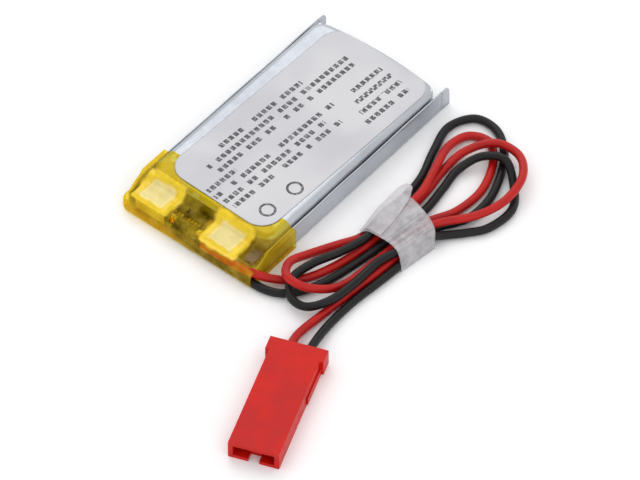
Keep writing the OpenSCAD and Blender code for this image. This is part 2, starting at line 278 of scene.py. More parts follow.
def axes(place):
    tree = place.socket.id_data
    split = tree.nodes.new("ShaderNodeSeparateXYZ")
    tree.links.new(place.socket, split.inputs[0])
    return [Value(out) for out in split.outputs]


# %% [markdown]
# ## The leads
# Each lead is a fixed length of thin, limp wire. Both run from the board, out at the corner
# of the end tape, twice round in two loops that a tie holds together, and into the plug.
# A curve with a round bevel would do as well. Here a ring is swept along the line, which gives
# a plain mesh, and the same line later lays the tie over the wires. The points are those of
# the CAD model, joined by one smooth curve.
# %% Routes of the two leads, in millimetres
LEAD_D = 1.1
RED_ROUTE = [
    (2.4, -19.2, 1.95), (5.6, -19.2, 2.0), (9.4, -19.0, 2.0), (12.4, -17.2, 1.0),
    (14.8, -14.6, 0.6), (16.3, -11.2, 0.6), (17.2, -7.0, 0.6), (17.5, -3.6, 0.7),
    (17.7, 0.4, 1.8), (17.8, 4.6, 1.8), (16.5, 9.2, 1.8), (15.2, 13.2, 1.1), (15.7, 16.6, 0.6),
    (18.4, 17.5, 0.6), (21.0, 14.9, 0.6), (22.7, 10.4, 0.6), (22.4, 5.8, 0.6), (20.7, 2.0, 0.6),
    (20.2, -2.0, 0.6), (19.9, -6.6, 0.6), (19.4, -11.4, 0.6), (18.8, -14.6, 1.6),
    (16.9, -17.1, 2.8), (14.2, -17.2, 3.0), (12.7, -14.8, 2.3), (13.0, -11.4, 1.0),
    (14.4, -8.0, 0.6), (16.0, -5.0, 0.6), (16.5, -1.8, 0.6), (17.6, 1.8, 0.6), (17.5, 6.0, 0.6),
    (16.9, 10.2, 0.6), (17.4, 14.0, 1.2), (19.8, 16.9, 1.9), (23.3, 17.2, 1.8),
    (26.0, 14.4, 2.1), (26.6, 10.2, 1.8), (25.4, 6.0, 1.8), (22.5, 2.0, 1.8), (21.5, -0.8, 1.7),
    (21.4, -3.6, 0.6), (21.1, -8.4, 0.6), (20.6, -13.2, 0.6), (20.2, -17.6, 0.6),
    (20.0, -21.4, 0.8), (20.5, -23.7, 1.3), (21.4, -26.0, 1.3),
]
BLACK_ROUTE = [
    (-2.4, -19.2, 1.95), (0.2, -19.2, 1.1), (3.0, -19.2, 0.7), (8.0, -19.2, 0.7),
    (12.4, -19.0, 0.6), (15.2, -17.3, 0.6), (17.1, -13.6, 0.6), (18.1, -9.2, 0.6),
    (18.7, -4.8, 0.6), (18.9, -0.6, 0.6), (19.3, 3.6, 0.6), (18.8, 7.6, 0.6), (18.4, 11.2, 0.8),
    (19.8, 14.2, 1.7), (22.6, 15.4, 1.9), (25.6, 13.3, 0.6), (27.6, 10.2, 0.6),
    (27.2, 6.2, 0.6), (25.4, 3.6, 0.6), (23.8, 1.6, 0.8), (22.9, -0.8, 1.8), (22.0, -3.6, 1.8),
    (20.8, -7.4, 1.8), (20.7, -12.2, 1.8), (20.2, -16.2, 1.9), (18.3, -18.5, 1.4),
    (16.0, -18.6, 1.6), (14.4, -16.4, 1.9), (14.7, -13.0, 1.8), (16.3, -9.2, 1.9),
    (17.2, -5.2, 1.9), (16.4, -1.2, 1.9), (16.1, 2.8, 0.8), (15.6, 7.2, 0.6), (14.0, 11.8, 0.6),
    (12.9, 16.2, 0.6), (14.6, 19.5, 0.6), (18.0, 19.6, 0.6), (21.2, 17.0, 0.6),
    (23.2, 13.4, 0.6), (24.4, 9.6, 0.6), (24.2, 5.6, 0.6), (22.2, 2.0, 0.6), (22.4, -0.8, 0.6),
    (22.6, -3.6, 0.6), (22.3, -8.6, 0.6), (21.8, -13.6, 0.6), (21.9, -18.6, 0.7),
    (22.8, -22.8, 1.3), (23.7, -25.1, 1.3),
]
print("route points:", len(RED_ROUTE), len(BLACK_ROUTE))

# %% [markdown]
# ## Insulation of the leads
# Thin hook-up wire has a soft plastic coat: a satin sheen, faint ripples from the extruder
# and a little dust and rubbing. One recipe serves both colours.
# %% Lead insulation


def insulation(name, deep, pale, roughness):
    material, shader, place = start_finish(name)
    drift = place.noise(0.35)
    rub = place.noise(5.0, 4.0, 0.7).ramp(0.52, 0.75)
    ripple = place.noise(2.2, 1.0) * 0.7 + place.noise(14.0) * 0.3
    fill(
        shader,
        Base_Color=(drift.ramp(0.3, 0.7, 0.0, 0.75) + rub * 0.25).between(deep, pale),
        Roughness=drift.ramp(0.3, 0.7, roughness - 0.06, roughness + 0.06) + rub * 0.12,
        Specular_IOR_Level=0.32,
        Normal=relief(ripple, 0.03),
    )
    return material


# %% Sweeping a ring along a route


def along(route, count):
    """Points on the smooth curve through the route, count to each stretch."""
    found = []
    last = len(route) - 1
    for i in range(last):
        a, b, c, d = (Vector(route[max(0, min(last, k))]) for k in range(i - 1, i + 3))
        for t in (s / count for s in range(count)):
            found.append(0.5 * (2 * b + (c - a) * t + (2 * a - 5 * b + 4 * c - d) * t * t
                                + (3 * b - a - 3 * c + d) * t ** 3))
    found.append(Vector(route[-1]))
    for p in found:
        p.z = max(p.z, LEAD_D / 2)
    return found


def tube(line, radius, sides=14):
    rings = []
    for i, p in enumerate(line):
        ahead = (line[min(len(line) - 1, i + 1)] - line[max(0, i - 1)]).normalized()
        side = ahead.cross(Vector((0, 0, 1))).normalized()
        up = side.cross(ahead)
        rings.append([tuple(p + radius * (math.cos(a) * side + math.sin(a) * up))
                      for a in (2 * math.pi * k / sides for k in range(sides))])
    return loft(rings)


# %% The two leads
RED_LINE, BLACK_LINE = along(RED_ROUTE, 8), along(BLACK_ROUTE, 8)
red_wire = make_piece(
    "red_wire", tube(RED_LINE, LEAD_D / 2),
    insulation("red_insulation", colour(170, 10, 6), colour(188, 20, 12), 0.4),
    ["red_lead"])
black_wire = make_piece(
    "black_wire", tube(BLACK_LINE, LEAD_D / 2),
    insulation("black_insulation", colour(5, 5, 6), colour(16, 14, 15), 0.42),
    ["black_lead"])

# %% [markdown]
# ## The pouch
# The cell's coat is aluminium foil with plastic on both faces. One sheet is drawn into a
# shallow cup, a flat one closes it, and the welded side seams are folded up against the
# walls. The real foil has round shoulders, faint dents and a far edge that bows out, where the
# CAD solid has a plain chamfer, a flat top and a straight edge. Cloth simulation could puff it
# up, but a drawn cup is stiff, so the height of its top is a formula, which the label and the
# tape use as well.
# %% Shape of the cup's top, in millimetres
CUP_X, CUP_Y0, CUP_Y1 = 9.7, -15.0, 18.85
CUP_R, CUP_TOP = 1.8, 4.0
SHOULDER_W, SHOULDER_H = 0.95, 0.72
BOW = 0.85
MID_Y, HALF_Y = (CUP_Y0 + CUP_Y1) / 2, (CUP_Y1 - CUP_Y0) / 2


def bow(x, y):
    """How far the far edge draws back at x, fading out towards the middle of the cell."""
    return BOW * (x / CUP_X) ** 2 * max(0.0, (y - MID_Y) / HALF_Y) ** 2


def inset_at(x, y):
    """Distance from the cup's outline, inwards."""
    dx = abs(x) - (CUP_X - CUP_R)
    dy = abs(y + bow(x, y) - MID_Y) - (HALF_Y - CUP_R)
    outside = math.hypot(max(dx, 0.0), max(dy, 0.0))
    return CUP_R - outside - min(max(dx, dy), 0.0)


def cup_top(x, y):
    t = max(0.0, min(1.0, inset_at(x, y) / SHOULDER_W))
    drop = SHOULDER_H * (1 - math.sqrt(1 - (1 - t) ** 2))
    dents = 0.035 * ripple(x, y, 0.16, 3.0) + 0.012 * ripple(x, y, 0.55, 7.0)
    return CUP_TOP - 0.02 - drop + dents * climb(t, 0.2, 1.0)


print("top of the cup at its middle:", round(cup_top(0, 0), 2), "mm")

# %% Outline of the cup at an inset


def cup_outline(inset, z=None):
    """Round-cornered outline. Where z isn't given, it follows the cup's top."""
    r = max(0.25, CUP_R - 0.6 * inset)
    found = []
    for x, y in round_rectangle(CUP_X - inset, HALF_Y - inset, r, 8, 22, 36):
        y += MID_Y
        y -= bow(x, y)
        found.append((x, y, cup_top(x, y) if z is None else z))
    return found


# %% Foil finish


def foil():
    material, shader, place = start_finish("pouch_foil")
    cloud = place.noise(0.12, 3.0)
    satin = place.stretched(6.0, 0.6, 6.0).noise(1.6, 3.0, 0.6)
    crinkle = place.noise(0.9, 3.0, 0.55)
    scuff = place.noise(2.6, 5.0, 0.7).ramp(0.6, 0.72)
    tone = cloud.ramp(0.3, 0.7, 0.0, 0.8) + scuff * 0.3
    fill(
        shader,
        Base_Color=tone.between(colour(168, 172, 180), colour(190, 194, 200)),
        Metallic=0.72,
        Roughness=satin.ramp(0.3, 0.7, 0.3, 0.4) + scuff * 0.1,
        Normal=relief(crinkle * 0.8 + satin * 0.12, 0.03),
    )
    return material


FOIL = foil()

# %% Drawn cup and sealed terrace
WALL_Z = (0.3, 0.34, 0.9, 1.6, 2.3, 2.9)
TOP_INSETS = (0.0, 0.04, 0.1, 0.18, 0.28, 0.4, 0.55, 0.75, 1.0, 1.25, 1.6, 2.1, 2.8,
              3.6, 4.5, 5.5, 6.5, 7.5, 8.4, 9.1)


def slab(low, high, across=1):
    """A closed flat box, cut into strips across."""
    (x0, y0, z0), (x1, y1, z1) = low, high
    return loft([
        [(x, y0, z0), (x, y1, z0), (x, y1, z1), (x, y0, z1)] for x in steps(x0, x1, across)
    ])


cup_shape = loft([cup_outline(0.03, z) for z in WALL_Z] + [cup_outline(e) for e in TOP_INSETS])
terrace = slab((-9.9, -18.4, 0.22), (9.9, -14.9, 0.34), 12)
make_piece("drawn_cup", joined(cup_shape, terrace), FOIL, ["pouch_cup"])

# %% [markdown]
# ## The folded side seams
# The flat foil closes the pouch from below. Its long edges are welded to the cup's rim and
# folded up, so a thin double wall stands beside the cell with a dark gap behind it, and
# runs on a little past the far end. It waves slightly, as hand-folded foil does. The CAD model
# keeps the two layers of the wall apart, one on each foil. Here they are one sheet, because
# they are welded together and no gap between them can be seen.
# %% Cover sheet with both flaps
FLAP_X, FLAP_TOP, FLAP_END, FLAP_R = 10.18, 3.3, 19.88, 0.8
SEAM_T, END_DROP = 0.24, 1.2


def flap_sway(side, y):
    """How far the top of a flap leans outwards."""
    return 0.07 * ripple(side * 3.0, y, 0.14, 11.0) - 0.05


def flap_height(side, y):
    top = FLAP_TOP + 0.05 * (ripple(side * 5.0, y, 0.22, 5.0) - 0.5)
    top -= END_DROP * climb(-y, 15.5, 17.9)
    past = y - (FLAP_END - FLAP_R)
    if past > 0:
        top -= FLAP_R - math.sqrt(max(0.0, FLAP_R ** 2 - past ** 2))
    return top


def flap_outline(side, y, low):
    """Cross-section of one flap, from its foot outside, over the rolled edge, and down."""
    top, r = flap_height(side, y), SEAM_T / 2
    upright = [(FLAP_X, z) for z in steps(low, top - r, 5)]
    roll = [(FLAP_X - r + r * math.cos(a), top - r + r * math.sin(a))
            for a in steps(0, math.pi, 6)[1:-1]]
    inside = [(FLAP_X - SEAM_T, z) for z in steps(top - r, low + 0.1, 5)]
    return [(side * (x + flap_sway(side, y) * climb(z, 0.2, 3.3)), y, z)
            for x, z in upright + roll + inside]


def cover_outline(y):
    right = flap_outline(1, y, 0.42)
    left = flap_outline(-1, y, 0.42)
    inner = [(x, y, 0.24) for x in steps(9.78, -9.78, 12)]
    outer = [(x, y, 0.1) for x in steps(-9.9, 9.9, 12)]
    return right + inner + left[::-1] + [(-10.1, y, 0.18)] + outer + [(10.1, y, 0.18)]


cover_shape = loft([cover_outline(y) for y in steps(-18.4, 18.4, 60)])
ends = [loft([flap_outline(side, y, 0.16) for y in
              steps(18.3, 19.0, 3) + [19.2, 19.4, 19.55, 19.68, 19.78, 19.84, 19.87]])
        for side in (-1, 1)]
make_piece("side_seams", joined(cover_shape, *ends), FOIL, ["pouch_cover"])

# %% [markdown]
# ## The printed label
# A thin light-grey film is stuck over the cup and the edge of the end tape. What the maker
# prints on it is left out: rows of small blank dashes stand for the print, and two plain
# rings stand for marks. They are painted by sums on the place of a point, so they need no
# picture, and each row is one line in a table.
# %% Label finish
PRINT_SLOPE = 0.055
ROW_STEP = 1.36
PRINT_ROWS = (
    (0, -7.0, 8.0), (1, -10.5, 15.0), (2, -10.3, 14.6), (3, -13.6, -8.6), (4, -13.8, 7.6),
    (5, -13.6, 4.6), (6, -13.4, 6.0), (4.3, 10.8, 16.2), (5.5, 9.6, 16.2), (6.7, 8.6, 16.0),
    (7.9, 6.8, 15.6),
)
MARKS = ((6.2, -11.2), (6.5, -6.3))
MARK_R, MARK_LINE = 0.95, 0.17
DASH_STEP, DASH_HALF, ROW_HALF = 0.86, 0.36, 0.36


def label_film():
    material, shader, place = start_finish("label_film")
    x, y, _ = axes(place)
    across = x - (y + 14.0) * PRINT_SLOPE + 5.5
    rows = total([
        across.near(row * ROW_STEP, ROW_HALF) * y.near((start + end) / 2, (end - start) / 2)
        for row, start, end in PRINT_ROWS
    ])
    row_number = (across * (1 / ROW_STEP) + 0.5).math("FLOOR")
    pace = y * (1 / DASH_STEP) + row_number * 0.37
    cell = pace.math("FLOOR") + row_number * 31.0
    kept = cell.node("TexWhiteNoise", {"noise_dimensions": "1D"}, {"W": cell})
    dashes = rows * pace.math("FRACT").near(0.4, DASH_HALF) * kept.ramp(0.14, 0.15)
    for mark_x, mark_y in MARKS:
        dx, dy = x - mark_x, y - mark_y
        dashes = dashes + (dx * dx + dy * dy).math("SQRT").near(MARK_R, MARK_LINE)
    worn = place.noise(3.5, 4.0, 0.7).ramp(0.36, 0.5, 0.35, 0.92)
    cloud = place.noise(0.1, 2.0)
    base = cloud.ramp(0.3, 0.7).between(colour(190, 190, 195), colour(206, 206, 209))
    ink = (dashes * worn).between(base, colour(52, 52, 56))
    grain = place.noise(9.0, 3.0, 0.6)
    fill(
        shader,
        Base_Color=ink,
        Roughness=cloud.ramp(0.3, 0.7, 0.44, 0.54) + dashes * 0.08,
        Specular_IOR_Level=0.4,
        Normal=relief(grain * 0.25 + place.noise(0.5, 2.0) * 0.75, 0.02),
    )
    return material


# %% Label mesh
LABEL_X, LABEL_Y = 0.55, 2.15
LABEL_W, LABEL_L, LABEL_R, LABEL_TURN = 16.3, 32.5, 2.8, math.radians(-1.5)
TAPE_BACK, OVER_TAPE = -11.0, 0.07


def label_outline(inset, lift):
    r = max(0.2, LABEL_R - inset)
    cos, sin = math.cos(LABEL_TURN), math.sin(LABEL_TURN)
    found = []
    for u, v in round_rectangle(LABEL_W / 2 - inset, LABEL_L / 2 - inset, r, 12, 20, 44):
        x, y = LABEL_X + u * cos - v * sin, LABEL_Y + u * sin + v * cos
        step = OVER_TAPE * (1 - climb(y, TAPE_BACK - 0.3, TAPE_BACK + 0.4))
        found.append((x, y, cup_top(x, y) + 0.03 + step + lift))
    return found


LABEL_INSETS = (0.15, 0.5, 1.1, 1.9, 2.9, 4.0, 5.2, 6.4, 7.4, 7.9)
label_shape = loft(
    [label_outline(0.1, -0.02), label_outline(0.0, 0.0)]
    + [label_outline(e, 0.035) for e in LABEL_INSETS])
make_piece("printed_label", label_shape, label_film(), ["label"])

# %% [markdown]
# ## The end tape
# The board end is wrapped in thin amber heat-proof film, pulled over the cup's front edge,
# the folded tabs and the board, round the front and back underneath. It is clear, so what
# is under it shows, and it is tight in some places and blistered in others. Cloth simulation
# could drape it, but a film that thin hardly stretches, so its height is a formula again:
# the cup's top at the back, and pillows over the two tabs, the chips and the leads in front.
# %% Height of the tape over the board end
TAPE_X, TAPE_FRONT, CORNER_R = 10.62, -19.86, 1.3
TABS_X = (-6.6, 4.4)
RIM_TOP, RIM_FALL, OVER_BOARD, AMBER_T = 3.38, 1.1, 1.98, 0.05
TAPE_HUMPS = (   # centre x and y, reach along x and y, and height of each pillow
    (-6.7, -16.8, 2.6, 1.8, 0.75), (4.4, -16.8, 2.75, 1.8, 0.75),      # tabs
    (-1.4, -16.1, 2.3, 1.0, 0.68), (1.2, -16.0, 0.7, 0.8, 0.45),       # chips
    (0.9, -17.8, 0.75, 0.6, 0.4), (-3.4, -17.8, 0.75, 0.6, 0.4),       # solder
    (6.4, -19.1, 4.6, 0.6, 0.66), (-1.6, -19.1, 1.2, 0.6, 0.62),       # leads
)


def tape_top(x, y):
    rim = RIM_TOP - RIM_FALL * climb(abs(x), 10.2, 10.95) - END_DROP * climb(-y, 15.7, 18.2)
    over_cup = max(cup_top(x, y) + 0.05, rim)
    board = OVER_BOARD + 0.05 * ripple(x, y, 0.8, 2.0)
    for hump_x, hump_y, reach_x, reach_y, lift in TAPE_HUMPS:
        lump = hump(x, hump_x, reach_x, 0.6) * hump(y, hump_y, reach_y, 0.6)
        board = max(board, OVER_BOARD + lift * lump)
    board += (rim - board) * climb(abs(x), 9.2, 9.95) * (1 - climb(-y, 18.6, 19.35))
    share = climb(y, -16.0, -15.02)
    crease = 1 - abs(ripple(x, y, 0.6, 9.0))
    wrinkle = 0.1 * crease ** 6 * (1 - climb(y, -14.5, -13.0))
    return board + (over_cup - board) * share + wrinkle


# %% Tape mesh
TAPE_LOW = 0.03
FRONT_CURVE = (   # distance behind the front, and share of the way up
    (0.32, 0.97), (0.12, 0.88), (0.02, 0.72), (0.0, 0.5), (0.02, 0.28), (0.1, 0.12), (0.28, 0.03))


def rounded(x, y):
    """y, drawn back near the left front corner, which is round from above."""
    out = max(0.0, -x - (TAPE_X - CORNER_R))
    back = CORNER_R - math.sqrt(max(0.0, CORNER_R ** 2 - out ** 2))
    return y + back * climb(-y, 16.8, 19.3)


def tape_path(x):
    """From the tape's edge on the cup, forward, round the front and back underneath."""
    side = climb(abs(x), 10.1, 10.62)
    low = TAPE_LOW + 0.12 * side
    tops = [(x, rounded(x, y), tape_top(x, rounded(x, y))) for y in TAPE_YS]
    lip = tops[-1][2]
    front = [(x, rounded(x, TAPE_FRONT) + dy, low + (lip - low) * part)
             for dy, part in FRONT_CURVE]
    under = [(x, rounded(x, y), low) for y in TAPE_YS[::-1]]
    return tops + front + under


TAPE_YS = steps(-11.05, -19.3, 52)
COLUMNS = [TAPE_X * math.sin(math.radians(a)) for a in steps(-90, 90, 120)]


def tape_side(side, first, last):
    """Strip from the top edge down to the bottom edge, over these steps along the cell."""
    x = side * TAPE_X
    rows = []
    for y in (rounded(x, y) for y in TAPE_YS[first:last]):
        top, low = tape_top(x, y), 0.15
        rows.append([(x + side * 0.05 * math.sin(math.pi * t), y, top + (low - top) * t)
                     for t in steps(0, 1, 6)])
    return loft(rows, ring=False, caps=False)


OPEN_FROM = next(i for i, y in enumerate(TAPE_YS) if y < -17.4)
tape_shape = joined(
    loft([tape_path(x) for x in COLUMNS], ring=False, caps=False),
    tape_side(-1, 0, len(TAPE_YS)),
    tape_side(1, 0, OPEN_FROM),
)

# %% Tape finish


def clear_film(name, tint):
    """A film that colours what is behind it, mixed with its own milky, glossy surface."""
    material, shader, place = start_finish(name)
    tree = material.node_tree
    clear = tree.nodes.new("ShaderNodeBsdfTransparent")
    clear.inputs["Color"].default_value = tint
    mix = tree.nodes.new("ShaderNodeMixShader")
    tree.links.new(clear.outputs[0], mix.inputs[1])
    tree.links.new(shader.outputs[0], mix.inputs[2])
    tree.links.new(mix.outputs[0], tree.nodes["Material Output"].inputs["Surface"])
    return material, shader, place, mix.inputs["Fac"]


PAD_Y, CHIPS_X, SPILL_X = -16.9, -1.4, 8.7


def amber():
    """Amber film, whitish over the tab tops (partly blistered film, partly painted reflection),
    clearer over the chips and stained at one side.
    """
    material, shader, place, cover = clear_film("amber_tape", colour(255, 246, 158))
    x, y, z = axes(place)
    glue = place.noise(0.55, 3.0, 0.6)
    bubbles = place.noise(1.7, 4.0, 0.65).ramp(0.55, 0.7)
    off_centre, front = y.apart(PAD_Y), z.ramp(2.2, 2.5)
    pad_blisters_and_glare, rims = [], []
    # Masks over the tab tops: their whitish colour is partly blistered film and partly a painted
    # reflection of the white room.
    for tab_x in TABS_X:
        away = x.apart(tab_x).math("SMOOTH_MAX", off_centre * 1.2, 0.8) + place.noise(0.7) * 0.9
        pad_blisters_and_glare.append(away.ramp(2.1, 2.6, 1.0, 0.0))
        rims.append(away.ramp(1.9, 2.7) * away.ramp(3.1, 3.7, 1.0, 0.0))
    pad_blisters_and_glare, rims = total(pad_blisters_and_glare) * front, total(rims) * front
    spill = (x.apart(SPILL_X) + place.noise(0.6)).ramp(1.1, 1.7, 1.0, 0.0)
    spill = spill * off_centre.ramp(0.9, 2.2, 1.0, 0.0)
    aged = glue.ramp(0.3, 0.7).between(colour(206, 166, 30), colour(238, 208, 58))
    # Painted reflection: the whitish tab tops are partly blisters and partly a painted reflection
    # of the white room, put into the colour and the cover share.
    with_blisters_and_glare = (pad_blisters_and_glare * 0.95).between(aged, colour(255, 243, 176))
    stained = (spill * 0.85).between(with_blisters_and_glare, colour(96, 52, 12))
    fill(
        shader,
        Base_Color=(rims * 0.9).between(stained, colour(255, 222, 10)),
        Roughness=glue.ramp(0.3, 0.7, 0.1, 0.22),
        Specular_IOR_Level=0.6,
        Normal=relief(place.noise(1.2, 3.0, 0.5) * 0.8 + bubbles * 0.2, 0.06),
    )
    bare = x.apart(CHIPS_X).ramp(1.8, 2.8, 1.0, 0.0) * front
    share = glue.ramp(0.3, 0.7, 0.1, 0.22) - bare * 0.08
    share = share + pad_blisters_and_glare * 0.4 + rims * 0.6 + spill * 0.42
    material.node_tree.links.new(share.socket, cover)
    return material


tape = make_piece("board_end_tape", tape_shape, amber(), ["end_tape"])
weld = tape.modifiers.new("join the strips", "WELD")
weld.merge_threshold = 0.02 * MM
film = tape.modifiers.new("film thickness", "SOLIDIFY")
film.thickness, film.offset = AMBER_T * MM, -1.0

# %% [markdown]
# ## The lead tie
# A short strip of milky tape goes once round all eight runs of wire and its free end lies
# flat as a flag. A real one follows the wires under it. So its top is worked out from them:
# the height of the highest wire near each point, smoothed, with a little to spare.
# %% Plan of the tie and the wires under it
TIE_NEAR = ((15.45, -5.15), (17.3, -4.95), (19.0, -4.8), (20.6, -4.85), (22.1, -5.3),
            (23.15, -5.95))
TIE_FAR = ((15.45, 3.15), (17.6, 2.75), (19.6, 2.25), (21.6, 1.5), (23.1, 0.6), (23.92, -0.4))
TIE_ACROSS, TIE_ALONG = 60, 24
TIE_LOW, TIE_SLACK, TIE_TOP, OVER_WIRE = 0.25, 0.07, 2.62, 0.09
FLAG_TOP, MILKY_T = 2.71, 0.06


def on_edge(edge, t):
    """A point at t, from 0 to 1, on the smooth line through an edge's points."""
    t = min(t, 0.9999) * (len(edge) - 1)
    i = int(t)
    line = along([(x, y, 9.0) for x, y in edge[max(0, i - 1):i + 3]], 12)
    return line[int((t - i) * 12) + (12 if i else 0)]


def wires_top(x, y):
    """Top of the highest wire at a point, or 0 where there is none."""
    best = 0.0
    for p in WIRES_HERE:
        away = math.hypot(p.x - x, p.y - y)
        if away < LEAD_D / 2:
            best = max(best, p.z + math.sqrt(LEAD_D ** 2 / 4 - away ** 2))
    return best


WIRES_HERE = [p for p in along(RED_ROUTE, 48) + along(BLACK_ROUTE, 48)
              if 14.0 < p.x < 25.0 and -8.0 < p.y < 5.0]
print("wire points near the tie:", len(WIRES_HERE))

# %% Pulling the tie tight over the wires


def pulled_tight(row):
    """Heights of a film pulled straight from one high place of a row to the next."""
    kept = []
    for i, z in enumerate(row):
        while len(kept) > 1:
            (i0, z0), (i1, z1) = kept[-2:]
            if (z1 - z0) * (i - i0) > (z - z0) * (i1 - i0):
                break
            kept.pop()
        kept.append((i, z))
    tight = []
    for (i0, z0), (i1, z1) in zip(kept, kept[1:]):
        tight += [z0 + (z1 - z0) * (i - i0) / (i1 - i0) for i in range(i0, i1)]
    return tight + [row[-1]]


def evened(rows, times):
    """Heights with each one averaged with its neighbours along and across."""
    last, end = len(rows) - 1, len(rows[0]) - 1
    for _ in range(times):
        rows = [[(rows[max(0, j - 1)][i] + 2 * rows[j][i] + rows[min(last, j + 1)][i]) / 4
                 for i in range(end + 1)] for j in range(last + 1)]
        rows = [[row[i] if i in (0, end) else (row[i - 1] + 4 * row[i] + row[i + 1]) / 6
                 for i in range(end + 1)] for row in rows]
    return rows


def tie_rows():
    near = [on_edge(TIE_NEAR, t) for t in steps(0, 1, TIE_ACROSS)]
    far = [on_edge(TIE_FAR, t) for t in steps(0, 1, TIE_ACROSS)]
    plan = [[a.lerp(b, t) for a, b in zip(near, far)] for t in steps(0, 1, TIE_ALONG)]
    tops = [pulled_tight([TIE_LOW] + [wires_top(p.x, p.y) for p in row[1:-1]] + [TIE_LOW])
            for row in plan]
    tops = evened([[max(tops[k][i] for k in range(max(0, j - 2), min(TIE_ALONG, j + 2) + 1))
                    for i in range(TIE_ACROSS + 1)] for j in range(TIE_ALONG + 1)], 8)
    return [[(p.x, p.y, min(TIE_TOP, max(z + TIE_SLACK, wires_top(p.x, p.y) + OVER_WIRE)))
             for p, z in zip(row, top)] for row, top in zip(plan, tops)]


def tie_loops():
    """One closed loop round the wires for each row along the tie."""
    loops = []
    for row in tie_rows():
        left, right = row[0], row[-1]
        low = [(x, y, 0.03) for x, y, _ in row[-2:0:-4]]
        loops.append(row + [(right[0], right[1], 0.12)] + low + [(left[0], left[1], 0.12)])
    return loops


def flag_sheet():
    """The free end: a second layer on the tie's left part that runs on past its far edge."""
    rows = []
    for t in steps(0, 1, 36):
        y = -4.75 + 8.9 * t
        outer, inner = 15.45 + 0.15 * t ** 3, 18.7 - 1.5 * t ** 2
        row = []
        for k, x in enumerate(steps(outer, inner, 14)):
            share = k / 14
            corner = 0.85 * t ** 8 * (2 * abs(share - 0.5)) ** 3
            droop = 1.15 * (1 - climb(share, 0.0, 0.5)) * (1 - climb(t, 0.0, 0.45))
            droop += 0.35 * (1 - climb(share, 0.0, 0.3)) * (1 - climb(t, 0.3, 1.0))
            z = FLAG_TOP + 0.05 * t * math.sin(2.6 * t + 0.8 * x) + 0.02 * ripple(x, y, 0.9, 8.0)
            row.append((x, y - corner, z - droop))
        rows.append(row)
    return loft(rows, ring=False, caps=False)


# %% Tie finish


def milky_tape():
    material, shader, place, cover = clear_film("clear_tape", colour(250, 249, 250))
    cloud = place.noise(0.6, 3.0, 0.6)
    crease = place.stretched(1.0, 0.35, 1.0).noise(1.6, 2.0).ramp(0.5, 0.62)
    fill(
        shader,
        Base_Color=cloud.ramp(0.3, 0.7).between(colour(208, 205, 209), colour(220, 218, 221)),
        Roughness=cloud.ramp(0.3, 0.7, 0.4, 0.5),
        Normal=relief(cloud * 0.6 + place.noise(5.0, 3.0) * 0.1 + crease * 0.3, 0.04),
    )
    share = cloud.ramp(0.3, 0.7, 0.4, 0.52) + crease * 0.05
    material.node_tree.links.new(share.socket, cover)
    return material


tie = make_piece("wire_tie", joined(loft(tie_loops(), caps=False), flag_sheet()), milky_tape(),
                 ["lead_tie"])
tie_film = tie.modifiers.new("film thickness", "SOLIDIFY")
tie_film.thickness, tie_film.offset = MILKY_T * MM, -1.0

# %% [markdown]
# ## Lengths of the leads
# The length of each lead along its smooth line is printed.
# %% Lengths of both leads
# Each lead leaves the end tape near exit_at and ends in the plug. The length of each line is
# printed.
for wire, line, length, exit_at in (
    (red_wire, RED_LINE, 0.178, (0.0094, -0.019, 0.002)),
    (black_wire, BLACK_LINE, 0.188, (0.0124, -0.019, 0.0006)),
):
    [tuple(p * MM) for p in line]
    print(wire.name, "is", round(sum((q - p).length for p, q in zip(line, line[1:])), 1), "mm")

# %% [markdown]
# ## Parts that keep their CAD shape
# The tabs, the board with its chips, the solder, the bare strands, the contacts and the plug
# are right as they were drawn. They keep their meshes, and each material gets its own finish.
# A narrow bevel softens the edges of the plug, the board and the two chips, because a real
# moulded or cut edge always catches a line of light. The other pieces are too thin for it.
# %% Metal, board, chip and plastic finishes
CHIP_ROW_Y, CHIP_BODY = -16.3, 1.22


def simple_finish(name, dark, pale, scale, metallic, roughness, depth, shine=0.5):
    """Two tones that drift over the surface, with fine grain and rubbed spots."""
    material, shader, place = start_finish(name)
    drift = place.noise(scale, 3.0, 0.6)
    grain = place.noise(scale * 12, 3.0, 0.6)
    rubbed = place.noise(scale * 3.1, 5.0, 0.7).ramp(0.56, 0.72)
    fill(
        shader,
        Base_Color=(drift.ramp(0.3, 0.7, 0.0, 0.8) + rubbed * 0.2).between(dark, pale),
        Metallic=metallic,
        Roughness=drift.ramp(0.3, 0.7, roughness - 0.06, roughness + 0.06) + rubbed * 0.08,
        Normal=relief(drift * 0.5 + grain * 0.5, depth),
        Specular_IOR_Level=shine,
    )
    return material


def chip_with_legs():
    """Black resin over the body, and tinned legs where it stands past its long sides."""
    material, shader, place = start_finish("chip_black")
    _, y, _ = axes(place)
    legs = y.apart(CHIP_ROW_Y).math("GREATER_THAN", CHIP_BODY / 2)
    drift = place.noise(1.6, 3.0, 0.6)
    resin = drift.ramp(0.3, 0.7).between(colour(34, 33, 30), colour(56, 54, 48))
    fill(
        shader,
        Base_Color=legs.between(resin, colour(238, 226, 186)),
        Metallic=legs * 0.85,
        Roughness=drift.ramp(0.3, 0.7, 0.44, 0.56) - legs * 0.2,
        Normal=relief(drift * 0.5 + place.noise(19.0, 3.0, 0.6) * 0.5, 0.01),
    )
    return material


def board_finish():
    """Olive solder mask over copper tracks that show as slightly paler, raised bands."""
    material, shader, place = start_finish("board_laminate")
    x, _, _ = axes(place)
    track = (x * 1.4 + place.noise(0.8) * 3.0).math("SINE").ramp(0.2, 0.5)
    weave = place.noise(14.0, 2.0)
    fill(
        shader,
        Base_Color=track.between(colour(54, 58, 34), colour(104, 98, 52)),
        Roughness=track.ramp(0.0, 1.0, 0.34, 0.26),
        Normal=relief(track * 0.8 + weave * 0.2, 0.03),
    )
    return material


